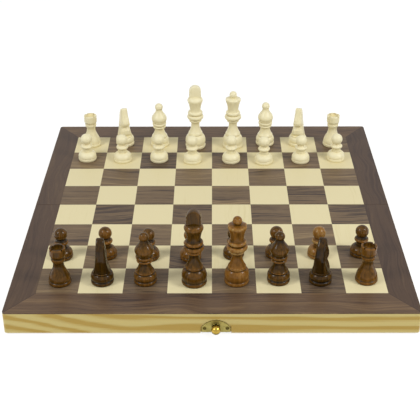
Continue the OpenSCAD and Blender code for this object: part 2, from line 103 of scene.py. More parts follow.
class WoodLooks(PropertyGroup):
    """Colours of the box's woods and lining."""

    pine_early: colour("Pine, early wood", "Pale part of a growth ring of the rails", "#C6B36D")
    pine_late: colour("Pine, late wood", "Golden part of a growth ring of the rails", "#AE8F39")
    walnut_light: colour("Walnut, light", "Pale streaks of the dark veneer", "#8A7556")
    walnut_mid: colour("Walnut, middle", "Ground of the dark veneer", "#6E5B45")
    walnut_dark: colour("Walnut, dark", "Pores and dark streaks of the dark veneer", "#41342C")
    maple_light: colour("Maple, light", "Ground of the pale veneer", "#E2D6AA")
    maple_dark: colour("Maple, dark", "Streaks of the pale veneer", "#D2C38C")
    plywood: colour("Plywood", "Face of the panel under the veneers", "#C9AE80")
    felt: colour("Felt", "Lining of the trays", "#1F4A33")
    ring_width: FloatProperty(
        name="Growth ring",
        description="Width of a growth ring of the pine, in mm",
        unit="CAMERA",
        default=9.5,
        min=1,
        max=20,
    )


class MenLooks(PropertyGroup):
    """Colours of the chessmen, and how round they are turned."""

    # The rim colours are painted highlights on the men's rims, and the darkest colours also paint shade into
    # their grooves.
    stain_rim_highlight: colour("Stain, rims", "Worn rims of the dark men", "#A5834A")
    stain_light: colour("Stain, light", "Pale grain of the dark men", "#84581F")
    stain_mid: colour("Stain, middle", "Ground of the dark men", "#4B3207")
    stain_dark_and_groove_shade: colour("Stain, dark", "Grooves and late wood of the dark men", "#1C1203")
    box_light: colour("Boxwood, light", "Rims and ground of the light men", "#F0E7C0")
    box_mid: colour("Boxwood, middle", "Grain of the light men", "#E8DDB2")
    box_dark_and_groove_shade: colour("Boxwood, dark", "Grooves of the light men", "#B3924A")
    turns: IntProperty(name="Facets", description="Points round a turned man", default=72, min=24, max=128)


class FittingLooks(PropertyGroup):
    """Colours of the fittings."""

    brass: colour("Brass", "Polished face of the turned fittings", "#BFA048")
    sheet: colour("Sheet brass", "Dull face of the plates and leaves", "#A89C5C")
    # The same darker brass paints the shade under the clasp's knob and the shadow round its neck.
    tarnish_and_shade: colour("Tarnish", "Darker brass in patches and on the screws", "#5F5428")


class StageLooks(PropertyGroup):
    """Camera, lamps and floor."""

    focal_length: FloatProperty(
        name="Focal length",
        description="Lens on a 36 mm wide sensor, in mm",
        unit="CAMERA",
        default=82.45,
        min=20,
        max=200,
    )
    floor: colour("Floor", "Plain pale floor", "#F4F4F4")
    glow: FloatProperty(
        name="Glow",
        description="Lift of the floor where it is looked at",
        subtype="FACTOR",
        default=0.45,
        min=0,
        max=1,
    )
    sky: FloatProperty(
        name="Sky", description="Strength of the white surroundings as a light", default=0.5, min=0, max=2
    )
    lamp: FloatProperty(
        name="Lamps", description="Power of each soft lamp, in W", unit="POWER", default=5.0, min=0, max=100
    )


# ---- meshes from numpy surfaces ----


def mesh_piece(name, points, faces, material, body, smooth_angle=35.0):
    """A smooth piece from points in mm and faces, with sharp edges past an angle, riding on a body."""
    mesh = bpy.data.meshes.new(name)
    mesh.from_pydata((np.asarray(points) * MM).tolist(), [], [list(map(int, face)) for face in faces])
    mesh.validate()
    mesh.shade_smooth()
    mesh.set_sharp_from_angle(angle=math.radians(smooth_angle))
    mesh.materials.append(material)
    piece = bpy.data.objects.new(name, mesh)
    bpy.context.scene.collection.objects.link(piece)
    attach(piece, body)
    return piece


def wrapped_faces(rows, columns):
    """Faces of a grid that closes round its columns: a point, the next round, and those two a row above."""
    row, column = np.meshgrid(np.arange(rows - 1), np.arange(columns), indexing="ij")
    beside = (column + 1) % columns
    below, above = row * columns, (row + 1) * columns
    return np.stack([below + column, below + beside, above + beside, above + column], -1).reshape(-1, 4)


def closed_grid(grid):
    """Points and faces of a grid [row, column, 3] closed round its columns, with one point at each end."""
    rows, columns = grid.shape[:2]
    bottom, top = grid[0].mean(0), grid[-1].mean(0)
    points = np.vstack([grid.reshape(-1, 3), bottom, top])
    ring = np.arange(columns)
    after = (ring + 1) % columns
    last = (rows - 1) * columns
    low_fan = np.stack([np.full(columns, rows * columns), after, ring], -1)
    high_fan = np.stack([np.full(columns, rows * columns + 1), last + ring, last + after], -1)
    return points, list(wrapped_faces(rows, columns)) + list(low_fan) + list(high_fan)


def angles(count):
    """That many equal angles round a circle."""
    return np.linspace(0, 2 * np.pi, count, endpoint=False)


def turned(profile, angle):
    """A grid from a profile of [radius, height]: x = radius cos angle, y = radius sin angle, z = height."""
    radius, height = profile[:, :1], profile[:, 1:]
    return np.stack([radius * np.cos(angle), radius * np.sin(angle), height + 0 * angle], -1)


def hollowness(profile, reach=2.2, full=0.9):
    """How far each point of a profile lies inside its neighbours: up to 1 in a groove, down to -1 on a rim.

    The radius is averaged along the profile with a bell curve of width reach, and the point's own is taken
    off and set against a full groove's depth, all in mm. It fades out near the axis, where a profile only
    ends.
    """
    axis_r, fade_r = 2, 1.5
    radius = profile[:, 0]
    step = np.hypot(*np.diff(profile, axis=0).T)
    along = np.concatenate([[0], np.cumsum(step)])
    weight = np.exp(-(((along[:, None] - along) / reach) ** 2)) * np.gradient(along)
    mean = weight @ radius / weight.sum(1)
    return np.clip((mean - radius) / full, -1, 1) * np.clip((radius - axis_r) / fade_r, 0, 1)


# ---- turned profiles: arrays of [radius, height] in mm, as drawn, before they are sized ----


def bead(radius, low, high, depth, points=12):
    """Half a rounded ring: radius falls by depth times (1 - cos t) while height follows sin t."""
    t = np.linspace(-np.pi / 2, np.pi / 2, points + 1)
    return np.stack([radius - depth + depth * np.cos(t), (low + high) / 2 + (high - low) / 2 * np.sin(t)], -1)


def bend(r0, z0, r1, z1, points=16):
    """A slow bend between two radii, upright at both ends: a half cosine wave."""
    t = np.linspace(0, 1, points + 1)
    return np.stack([r0 + (r1 - r0) * (1 - np.cos(np.pi * t)) / 2, z0 + (z1 - z0) * t], -1)


def sweep(r0, z0, r1, z1, points=18):
    """A stem above its foot: the radius comes in as (1 - t) to the 1.9 and ends upright."""
    t = np.linspace(0, 1, points + 1)
    return np.stack([r1 + (r0 - r1) * (1 - t) ** 1.9, z0 + (z1 - z0) * t], -1)


def flare(r0, z0, r1, z1, points=18):
    """A crown's side: upright where it starts, then the radius grows as t to the 1.9."""
    t = np.linspace(0, 1, points + 1)
    return np.stack([r0 + (r1 - r0) * t**1.9, z0 + (z1 - z0) * t], -1)


def dome(r0, z0, r1, z1, points=14):
    """The upper side of a full round: 72 degrees of an ellipse from r0, upright, to r1."""
    full = math.radians(72)
    a = np.linspace(0, full, points + 1)
    radius = r1 + (r0 - r1) * (np.cos(a) - math.cos(full)) / (1 - math.cos(full))
    return np.stack([radius, z0 + (z1 - z0) * np.sin(a) / math.sin(full)], -1)


def ball(radius, top, neck, points=22):
    """A ball of that radius, from the neck that it stands on up to just short of the axis at its top."""
    a = np.linspace(-math.acos(neck / radius), np.pi / 2 - 0.02, points + 1)
    return np.stack([radius * np.cos(a), top - radius + radius * np.sin(a)], -1)


def sized(parts, radius, h):
    """A drawn profile at its real size: its widest radius becomes radius and its top h."""
    drawn = np.vstack(parts)
    return drawn * [radius / drawn[:, 0].max(), h / drawn[:, 1].max()]


FOOT_T = 3.6  # height of the ring under a man
GROOVE = 0.5  # depth of the groove over that ring


def ring(radius):
    """The ring under every man, with the groove over it."""
    groove = [radius - GROOVE - 0.3, FOOT_T + 0.3]
    return np.vstack([[[radius - 0.7, 0]], bead(radius, 0.3, FOOT_T, 0.6, 10), [groove]])


def foot(radius, round_h, r_top, widest=0.3):
    """The ring and a full round over it, widest at a share of its height, up to where the stem starts."""
    swelling = bend(radius - GROOVE - 0.1, FOOT_T + 0.5, radius - 0.1, FOOT_T + 0.5 + round_h * widest, 6)
    shoulder = dome(radius - 0.1, FOOT_T + 0.6 + round_h * widest, r_top, FOOT_T + round_h)
    return np.vstack([ring(radius), swelling, shoulder])


def pawn_profile(radius, h):
    """A foot, a waist, one collar and a ball."""
    parts = [
        foot(10.1, 7, 4.9, 0.04),
        [[4.8, 12.4], [4.7, 14.2]],
        bead(6.6, 14.9, 18.1, 1.5),
        [[4.6, 18.8], [4.2, 19.8]],
        ball(6.2, 31, 4),
    ]
    return sized(parts, radius, h)


def rook_profile(radius, h):
    """A ring, a bell that draws in to a waist and opens again, and a round tower with a hollow top."""
    parts = [
        ring(10.4),
        bend(9.9, 4.2, 4.9, 20, 24),
        bend(4.9, 20.8, 6.3, 25, 10),
        [[6.45, 25.7], [6.4, 26.3], [6.05, 26.8], [6, 27.2]],
        bend(6.3, 27.7, 7.2, 30, 8),
        [[7.2, 31], [7.2, 35], [7.2, 36.4], [7.05, 36.85], [6.7, 37]],
        [[5.3, 37], [5.1, 36.7], [5, 35.5], [4.8, 34], [0.05, 34]],
    ]
    return sized(parts, radius, h)


def bishop_profile(radius, h):
    """A foot, a stem, two collars, a drop-shaped head and a ball."""
    parts = [
        foot(10.5, 7, 8.4),
        bead(8.7, 10.8, 12.6, 0.8, 8),
        sweep(8.1, 12.8, 5.4, 20),
        [[5.3, 21]],
        bead(7.4, 21.6, 24.6, 1.7),
        bead(8, 24.9, 28.4, 1.3),
        bend(7.7, 29, 8.7, 33.2, 10),
        bend(8.65, 33.6, 3.6, 44, 18),
        ball(4.5, 51.5, 3.5),
    ]
    return sized(parts, radius, h)


def queen_profile(radius, h):
    """A foot, a stem, three collars, a flared coronet and a ball."""
    parts = [
        foot(11.4, 11.2, 8.2),
        bead(8.5, 15, 17, 0.8, 8),
        sweep(8.2, 17.2, 4.7, 27.6),
        [[4.8, 30]],
        bead(7, 31, 34.4, 2),
        bead(9.5, 34.8, 39.4, 1.6),
        bead(8.2, 40, 44, 1.6),
        flare(6.1, 45.5, 8.8, 57.3),
        [[8.9, 58.2], [8.8, 58.8], [8.4, 59.3], [7, 59.8], [5.2, 60.2], [3, 60.6]],
        ball(4.2, 68, 2.8),
    ]
    return sized(parts, radius, h)


TINY = 1e-6  # the least that a cosine or sine is taken to be where it divides
CROWN = 0.832  # where the king's crown ends, as a share of its height


def king_profile(radius, h):
    """A foot, a stem, three collars and a flared crown, up to where the finial stands."""
    parts = [
        foot(11.6, 12, 8),
        bead(8.2, 15.8, 17.8, 0.8, 8),
        sweep(7.9, 18, 4.7, 28),
        [[4.8, 30.4]],
        bead(7.1, 31.4, 35, 2),
        bead(9.3, 35.4, 39.8, 1.6),
        bead(8.4, 40.4, 44.4, 1.6),
        flare(6.1, 45.6, 8.7, 57),
        [[8.75, 57.8], [8.65, 58.5], [8.4, 59.2], [7.5, 60.4], [5.6, 61.9], [0.1, 62.4]],
    ]
    return sized(parts, radius, h * CROWN)


KNIGHT_FOOT = 0.27  # the top of the knight's foot, as a share of its height


def knight_profile(radius, h):
    """The knight's foot alone, up to where the horse's neck stands."""
    return sized([foot(10.5, 7, 8.6), bead(8.4, 10.8, 12.2, 0.6, 8), [[0.1, 12.2]]], radius, h * KNIGHT_FOOT)


def queen_grid(profile, turns, h):
    """The queen, with her coronet scalloped: near the rim the radius dips by a wave of eight."""
    scallops, deepest = 8, 0.085  # the dip is a share of the radius
    rim, narrow = 0.856, 30  # the rim's height as a share of the whole, and how fast the wave fades from it
    grid = turned(profile, angles(turns))
    near_rim = np.exp(-(((profile[:, 1:] / h - rim) * narrow) ** 2))
    dip = 1 - deepest * near_rim * (0.5 + 0.5 * np.cos(scallops * angles(turns))) ** 2
    grid[..., :2] *= dip[..., None]
    return grid


def rook_grid(profile, turns, h):
    """The rook, with four notches: near four directions the tower's top is cut level at a lower height."""
    notch_half, notch_d, edge = 0.13, h * 0.043, 0.002  # radians, mm, radians
    sides = [math.pi / 4 + k * math.pi / 2 + s * notch_half for k in range(4) for s in (-1, 1)]
    angle = np.concatenate([angles(turns), [side + d for side in sides for d in (-edge, edge)]])
    angle = np.unique(np.mod(angle, 2 * np.pi))
    grid = turned(profile, angle)
    from_notch = np.abs(np.mod(angle, np.pi / 2) - np.pi / 4)
    cut = (from_notch < notch_half) & (profile[:, 1:] > h - notch_d)
    grid[..., 2] = np.where(cut, h - notch_d, grid[..., 2])
    return grid


def finial_grid(radius, h, points=120):
    """The king's finial: a flat arch with a small notch in each side and rounded edges.

    Its outline is read at equal angles round its middle, the less of a rectangle's reach and the arch's.
    Each ring of the surface is that outline shrunk towards the middle and set at one depth.
    """
    half_w, half_t, bevel = radius * 0.577, radius * 0.31, radius * 0.08
    notch_z, notch_half, notch_d = -0.8, 0.7, 0.7  # mm, from where the arch springs
    low, top = h * CROWN - radius * 0.18, h
    arch_z, middle = top - half_w, (low + top) / 2
    across, up = np.cos(angles(points)), np.sin(angles(points))
    to_side = half_w / np.maximum(np.abs(across), TINY)
    reach = np.minimum(to_side, (top - low) / 2 / np.maximum(np.abs(up), TINY))
    inside = (arch_z - middle) * up
    arch = inside + np.sqrt(np.maximum(inside**2 - (arch_z - middle) ** 2 + half_w**2, 0))
    reach = np.where(middle + reach * up > arch_z, np.minimum(reach, arch), reach)
    from_notch = (up * reach + middle - arch_z - notch_z) / notch_half
    reach = reach - notch_d * (np.abs(across) * reach > half_w * 0.9) * np.exp(-(from_notch**2))
    # Each ring's share of the outline and its depth, from one flat face over its rounded edge.
    rings = [(0.02, -1), (1 - bevel / half_w * 1.6, -1), (1 - bevel / half_w * 0.7, -0.95), (0.985, -0.84)]
    rings += [(1, -0.7), (1, 0.7)] + [(share, -depth) for share, depth in rings[::-1]]
    share, depth = np.array(rings).T[:, :, None]
    return np.stack([share * reach * across, depth * half_t + 0 * reach, middle + share * reach * up], -1)


def knight_grid(radius, h, turns=64):
    """The horse's head and neck: level slices, each a rounded box between a front, a back and two sides.

    The front, back and half width are drawn at a few heights of the carved head, which straight lines join.
    A slice's edge is the point at each angle of a superellipse, whose power of 4 leaves flat planes with
    narrow rounded edges, as a carver's chisel does.
    """
    drawn_r, drawn_h = 10.5, 33  # the foot's radius and the head's height as drawn, in mm
    wide, base = radius / drawn_r, h * KNIGHT_FOOT
    heights = np.array([0, 3, 7, 10.6, 13, 13.5, 14.4, 16.8, 19.8, 23.6, 27.2, 30.6, 32.4, 33]) / drawn_h
    front = np.array([5.8, 7.2, 6.8, 4.6, 3.7, 7.4, 9.1, 9.5, 8.4, 6.2, 4.8, 3.8, 3.1, 2.4])
    back = np.array([-7, -7.4, -7.9, -8.1, -8.2, -8.2, -8.2, -8.1, -7.6, -6.9, -5.6, -3, -1.2, -0.2])
    half = np.array([7.6, 6.9, 5.9, 5.4, 5.2, 5.15, 5.1, 4.8, 4.5, 4.3, 3.9, 3.7, 3.5, 3.0])
    level = np.unique(np.concatenate([np.linspace(0, 1, 60), heights]))
    front, back, half = (np.interp(level, heights, values) * wide for values in (front, back, half))
    across, along = (np.sign(v) * np.abs(v) ** 0.5 for v in (np.cos(angles(turns)), np.sin(angles(turns))))
    x = half[:, None] * across
    y = (front + back)[:, None] / 2 + (front - back)[:, None] / 2 * along
    z = base + level[:, None] * (h - base) + 0 * across
    return np.stack([x, y, z], -1)


def felt_sheet(low, high, columns=60, rows=30):
    """A sheet of felt: a grid whose lower face dips by a slow sum of sines, under an eighth of its thickness.

    The sheet is one closed grid. Its rings run from the middle of the lower face out to the edge, round it,
    and back in to the middle of the upper face, each at a share of the way from the middle to the rectangle.
    """
    middle, half = (low + high) / 2, (high - low) / 2
    across, along = np.cos(angles(columns * 4)), np.sin(angles(columns * 4))
    to_side = half[0] / np.maximum(np.abs(across), TINY)
    reach = np.minimum(to_side, half[1] / np.maximum(np.abs(along), TINY))
    share = np.concatenate([np.linspace(0.02, 0.995, rows), [1, 1], np.linspace(0.995, 0.02, rows)])[:, None]
    depth = np.concatenate([np.full(rows, -1.0), [-0.6, 0.6], np.full(rows, 1.0)])[:, None]
    x = middle[0] + share * reach * across
    y = middle[1] + share * reach * along
    wave_x, wave_y, highest = 23, 17, 0.22  # mm for a radian of each wave, and a share of half the thickness
    swell = highest * (0.5 + 0.25 * np.sin(x / wave_x) + 0.25 * np.sin(y / wave_y + 1))
    z = middle[2] + half[2] * np.where(depth < 0, depth * (1 - swell), depth)
    return closed_grid(np.stack([x, y, z], -1))


# ---- materials ----


def add_node(owner, kind, inputs=(), stops=(), **settings):
    """Adds one shader node with its settings, ramp stops and inputs, and returns it.

    An input takes a value, a socket to link, or a node, whose first output is linked.
    """
    tree = owner.node_tree
    made = tree.nodes.new("ShaderNode" + kind)
    for name, value in settings.items():
        setattr(made, name, value)
    if stops:
        ramp = made.color_ramp.elements
        ramp.remove(ramp[1])
        ramp[0].position, ramp[0].color = stops[0][0], (*stops[0][1], 1)
    for place, tone in stops[1:]:
        ramp.new(place).color = (*tone, 1)
    for socket, value in dict(inputs).items():
        if isinstance(value, bpy.types.Node):
            value = value.outputs[0]
        if isinstance(value, bpy.types.NodeSocket):
            tree.links.new(value, made.inputs[socket])
        else:
            made.inputs[socket].default_value = value
    return made


def blank_material(name):
    """A material with no nodes in it yet."""
    material = bpy.data.materials.new(name)
    material.use_nodes = True
    material.node_tree.nodes.clear()
    return material


def put_finish(material, **inputs):
    """Ends a material in a Principled shader with these inputs, and returns it."""
    sockets = {name.replace("_", " "): value for name, value in inputs.items()}
    shader = add_node(material, "BsdfPrincipled", sockets)
    add_node(material, "OutputMaterial", {"Surface": shader})
    return material


def place_mm(material, stretch=(1, 1, 1), turn=(0, 0, 0), shift=(0, 0, 0)):
    """Object coordinates in mm, less a shift, turned, and multiplied by stretch per axis."""
    where = add_node(material, "TexCoord").outputs["Object"]
    middle, per_mm = tuple(v * MM for v in shift), tuple(s / MM for s in stretch)
    centred = add_node(material, "VectorMath", {0: where, 1: middle}, operation="SUBTRACT")
    level = add_node(material, "VectorRotate", {"Vector": centred, "Rotation": turn}, rotation_type="EULER_XYZ")
    return add_node(material, "VectorMath", {0: level, 1: per_mm}, operation="MULTIPLY")


def pine(name, looks, along):
    """Pine rail, planed and varnished: golden growth rings show as bands along it and as arcs on its ends.

    The rings are cylinders round a pith line that lies outside the rail, so each face shows its own cut.
    They wander slowly. Towards the end that grew nearer the root they spread, and the bands run out of the
    rail's edge.
    """
    pith_at = (0, -236, -58)  # mm
    wander_mm = 16.0
    slow = (0.006, 0.05, 0.05)  # the rings wander over some 170 mm along the rail and 20 mm across it
    fibres = (0.02, 1.4, 1.4)  # 50 mm long and 0.7 mm apart
    spread = {"From Min": -HALF_W - 20, "From Max": -60, "To Min": -24.0, "To Max": 0.0}  # mm
    material = blank_material(name)
    where = place_mm(material, turn=(0, 0, math.pi / 2 if along == "Y" else 0))
    axes = add_node(material, "SeparateXYZ", {0: where})
    from_pith = add_node(material, "CombineXYZ", {"Y": axes.outputs["Y"], "Z": axes.outputs["Z"]})
    pith = add_node(material, "VectorMath", {0: from_pith, 1: pith_at}, operation="DISTANCE").outputs["Value"]
    slow_at = add_node(material, "VectorMath", {0: where, 1: slow}, operation="MULTIPLY")
    wander = add_node(material, "TexNoise", {"Vector": slow_at, "Scale": 1.0, "Detail": 2.0})
    wavy = add_node(material, "Math", {0: wander, 1: wander_mm, 2: pith}, operation="MULTIPLY_ADD")
    root_at = {"Value": axes.outputs["X"], **spread}
    root = add_node(material, "MapRange", root_at, interpolation_type="SMOOTHSTEP")
    wavy = add_node(material, "Math", {0: wavy, 1: root})
    rings = add_node(material, "Math", {0: wavy, 1: 1 / looks.ring_width}, operation="MULTIPLY")
    ring_share = add_node(material, "Math", {0: rings}, operation="FRACT")
    fibres_at = add_node(material, "VectorMath", {0: where, 1: fibres}, operation="MULTIPLY")
    fine = add_node(material, "TexNoise", {"Vector": fibres_at, "Scale": 1.0, "Detail": 4.0})
    streaked = add_node(material, "Math", {0: fine, 1: 0.3, 2: ring_share}, operation="MULTIPLY_ADD")
    early, late = tuple(looks.pine_early), tuple(looks.pine_late)
    half = tuple((a + b) / 2 for a, b in zip(early, late))
    stops = [(0.14, late), (0.3, early), (0.6, early), (0.78, half), (0.88, late), (1.0, late)]
    tone = add_node(material, "ValToRGB", {0: streaked}, stops)
    relief = add_node(material, "Bump", {"Height": fine, "Strength": 0.12, "Distance": 0.0003})
    return put_finish(material, Base_Color=tone, Roughness=0.42, Normal=relief)


def border_strips(material, x, y):
    """Which strip of the border a point is on, 1 where the strip runs along Y, and 1 on a mitre.

    A point's share of the way out across the border is taken along X and along Y. The larger one tells which
    way its strip runs, and the mitre is where the two are the same.
    """
    mitre = 0.018  # half the width of its dark line, as a share of the border's
    shares = []
    for axis, inner, outer in ((x, FIELD_X, HALF_W), (y, FIELD_Y, HALF_D)):
        reach = add_node(material, "Math", {0: axis}, operation="ABSOLUTE")
        past = add_node(material, "Math", {0: reach, 1: inner}, operation="SUBTRACT")
        shares.append(add_node(material, "Math", {0: past, 1: 1 / (outer - inner)}, operation="MULTIPLY"))
    past_mitre = add_node(material, "Math", {0: shares[0], 1: shares[1]}, operation="SUBTRACT")
    upright = add_node(material, "Math", {0: past_mitre, 1: 0.0}, operation="GREATER_THAN")
    joint = add_node(material, "Math", {0: past_mitre, 1: 0.0, 2: mitre}, operation="COMPARE")
    far = add_node(material, "Math", {0: y, 1: 0.0}, operation="GREATER_THAN")
    right = add_node(material, "Math", {0: x, 1: 0.0}, operation="GREATER_THAN")
    right_strip = add_node(material, "Math", {0: right, 1: upright}, operation="MULTIPLY")
    return add_node(material, "CombineXYZ", {"X": far, "Y": right_strip, "Z": upright}), upright, joint


def veneer(name, tones, grain_way, spread):
    """Veneer under satin varnish: long streaks that bend slowly, slow bands and dark pores.

    The wider the spread, the fainter the streaks. Each square is cut from its own piece of the sheet, which a
    noise value of its place picks, with the grain level or upright. On the border the grain follows each
    strip, and the strips meet at a fine dark mitre.
    """
    sheet_mm, bend_mm = 900, 26.0
    bends = (0.014, 0.02, 1)  # over some 70 mm along the grain and 50 mm across it
    # The figure of streaks, slow bands and pores: turns per mm along the grain and across it, and the detail.
    figure = (((0.012, 0.42, 1), 5.0), ((0.007, 0.085, 1), 2.0), ((0.09, 1.9, 1), 2.0))
    middle = 1.22  # the mean of what the figure's parts add up to
    side_shade, level_shade = 0.75, 0.36  # how far the border's strips are darkened
    material = blank_material(name)
    where = place_mm(material, shift=(0, FOLD_Y, 0))
    axes = add_node(material, "SeparateXYZ", {0: where})
    x, y = axes.outputs["X"], axes.outputs["Y"]
    if grain_way == "border":
        sheet, upright, joint = border_strips(material, x, y)
        along = add_node(material, "Mix", {0: upright, 2: x, 3: y})
        across = add_node(material, "Mix", {0: upright, 2: y, 3: x})
    else:
        per_square = (1 / SQUARE, 1 / SQUARE, 0)
        cell = add_node(material, "VectorMath", {0: where, 1: per_square}, operation="MULTIPLY")
        sheet = add_node(material, "VectorMath", {0: cell}, operation="FLOOR")
        along, across = (y, x) if grain_way == "upright" else (x, y)
    pick = add_node(material, "TexWhiteNoise", {"Vector": sheet}, noise_dimensions="3D").outputs
    grain = add_node(material, "CombineXYZ", {"X": along, "Y": across})
    cut_at = {0: pick["Color"], 1: (sheet_mm,) * 3, 2: grain}
    cut = add_node(material, "VectorMath", cut_at, operation="MULTIPLY_ADD")
    bends_at = add_node(material, "VectorMath", {0: cut, 1: bends}, operation="MULTIPLY")
    bent = add_node(material, "TexNoise", {"Vector": bends_at, "Scale": 1.0, "Detail": 1.0})
    sway = add_node(material, "Math", {0: bent, 1: bend_mm}, operation="MULTIPLY")
    sideways = add_node(material, "CombineXYZ", {"Y": sway})
    spot = add_node(material, "VectorMath", {0: cut, 1: sideways})
    parts = []
    for stretch, detail in figure:
        at = add_node(material, "VectorMath", {0: spot, 1: stretch}, operation="MULTIPLY")
        noise = {"Vector": at, "Scale": 1.0, "Detail": detail, "Distortion": 0.7}
        parts.append(add_node(material, "TexNoise", noise))
    streak, band, pore = parts
    gathered = streak
    for part, share in ((band, 0.75), (pore, 0.45), (pick["Value"], 0.26)):
        gathered = add_node(material, "Math", {0: part, 1: share, 2: gathered}, operation="MULTIPLY_ADD")
    span = {"Value": gathered, "From Min": middle - spread, "From Max": middle + spread}
    rescaled = add_node(material, "MapRange", span)
    light, mid, dark = tones
    base = add_node(material, "ValToRGB", {0: rescaled}, [(0.12, dark), (0.42, mid), (0.6, mid), (0.9, light)])
    if grain_way == "border":
        shade = add_node(material, "MapRange", {"Value": upright, "To Min": level_shade, "To Max": side_shade})
        for darkened in (shade, joint):
            mixed = add_node(material, "Mix", {0: darkened, 6: base, 7: (*dark, 1)}, data_type="RGBA")
            base = mixed.outputs[2]
    relief = add_node(material, "Bump", {"Height": streak, "Strength": 0.06, "Distance": 0.0002})
    return put_finish(material, Base_Color=base, Roughness=0.45, IOR=1.3, Normal=relief)


def birch_plywood(looks):
    """Sanded birch plywood face inside the trays: pale, with faint figure 100 mm long and 3 mm wide."""
    material = blank_material("birch_plywood")
    where = place_mm(material, (0.01, 0.3, 1))
    figure = add_node(material, "TexNoise", {"Vector": where, "Scale": 1.0, "Detail": 5.0})
    ground = tuple(looks.plywood)
    tone = add_node(material, "ValToRGB", {0: figure}, [(0.3, tuple(c * 0.8 for c in ground)), (0.7, ground)])
    return put_finish(material, Base_Color=tone, Roughness=0.6)


def pressed_felt(looks):
    """Pressed wool felt: short tangled fibres give mottled green, no gloss and a soft edge of light."""
    material = blank_material("pressed_felt")
    fibres_at = {"Vector": place_mm(material), "Scale": 1.6, "Detail": 6.0, "Roughness": 0.75}
    fibres = add_node(material, "TexNoise", fibres_at)
    deep, raised = (tuple(c * k for c in looks.felt) for k in (0.6, 1.4))
    tone = add_node(material, "ValToRGB", {0: fibres}, [(0.3, deep), (0.7, raised)])
    relief = add_node(material, "Bump", {"Height": fibres, "Strength": 0.6, "Distance": 0.0004})
    fleece = {"Sheen_Weight": 0.3, "Sheen_Roughness": 0.6}
    return put_finish(material, Base_Color=tone, Roughness=0.95, Normal=relief, **fleece)


def polished_brass(name, bright, tarnish_and_shade, roughness, knob=None):
    """Brass sheet and turned brass: pale yellow, a little duller in patches where it has been handled.

    A knob, given by its box, gets painted shade on its underside and a painted shadow where its neck meets the
    plate.
    """
    material = blank_material(name)
    patches_at = place_mm(material, (0.25, 0.25, 0.25))
    patches = add_node(material, "TexNoise", {"Vector": patches_at, "Scale": 1.0, "Detail": 3.0})
    worn = tuple(a * 0.7 + b * 0.3 for a, b in zip(bright, tarnish_and_shade))
    base = add_node(material, "ValToRGB", {0: patches}, [(0.3, worn), (0.6, tuple(bright))])
    duller = {"Value": patches, "To Min": roughness + 0.1, "To Max": roughness - 0.05}
    polish = add_node(material, "MapRange", duller)
    if knob:
        low, width = knob[0], knob[1][2] - knob[0][2]
        axes = add_node(material, "SeparateXYZ", {0: place_mm(material)})
        painted_shade = []
        # Painted shade: shares of the ball's width, up from its underside and back towards its neck, over which
        # the knob darkens.
        for axis, start, unshaded, dark in (("Z", low[2], 0.55, 0.25), ("Y", low[1], 0.7, 0.95)):
            reach = {"From Min": start + unshaded * width, "From Max": start + dark * width}
            painted_shade.append(add_node(material, "MapRange", {"Value": axes.outputs[axis], **reach}))
        either = add_node(material, "Math", {0: painted_shade[0], 1: painted_shade[1]}, operation="MAXIMUM")
        mixed = add_node(material, "Mix", {0: either, 6: base, 7: (*tarnish_and_shade, 1)}, data_type="RGBA")
        base = mixed.outputs[2]
    return put_finish(material, Base_Color=base, Metallic=1.0, Roughness=polish)


def lacquered_men(name, tones, gloss, lacquer):
    """Turned wood under lacquer of that index: upright grain, painted shade in the grooves and a painted
    highlight on the rims.

    The grain is a noise drawn out along the height, 29 mm long and 2.4 mm wide. Each man has a tone of its
    own, and how hollow each point lies comes from the profile: from it the grooves get painted shade and
    more roughness, and the rims a painted highlight. Both are attributes of the mesh.
    """
    material = blank_material(name)
    grain_at = place_mm(material, (0.42, 0.42, 0.035))
    figure = add_node(material, "TexNoise", {"Vector": grain_at, "Scale": 1.0, "Detail": 4.0, "Distortion": 0.6})
    own = add_node(material, "Attribute", attribute_name="tone").outputs["Fac"]
    hollow = add_node(material, "Attribute", attribute_name="hollow").outputs["Fac"]
    # The hollow share paints shade into the grooves and a highlight onto the rims; the rim colour is that
    # painted highlight.
    gathered = 0.09
    for part, share in ((figure, 0.56), (own, 0.41), (hollow, -0.41)):
        gathered = add_node(material, "Math", {0: part, 1: share, 2: gathered}, operation="MULTIPLY_ADD")
    rim, light, mid, dark = tones
    tone = add_node(material, "ValToRGB", {0: gathered}, [(0.22, dark), (0.46, mid), (0.75, light), (1.0, rim)])
    dull = add_node(material, "MapRange", {"Value": hollow, "To Min": gloss, "To Max": 0.75})
    return put_finish(material, Base_Color=tone, Roughness=dull, IOR=lacquer)


def seen_directly(owner):
    """1 for a camera, glossy or transmission ray, which see the background as it is, and 0 for the rest."""
    rays = add_node(owner, "LightPath").outputs
    either = add_node(owner, "Math", {0: rays["Is Camera Ray"], 1: rays["Is Glossy Ray"]}, operation="MAXIMUM")
    return add_node(owner, "Math", {0: either, 1: rays["Is Transmission Ray"]}, operation="MAXIMUM")


THIN = 0.6  # how much of what is under the floor a camera ray sees


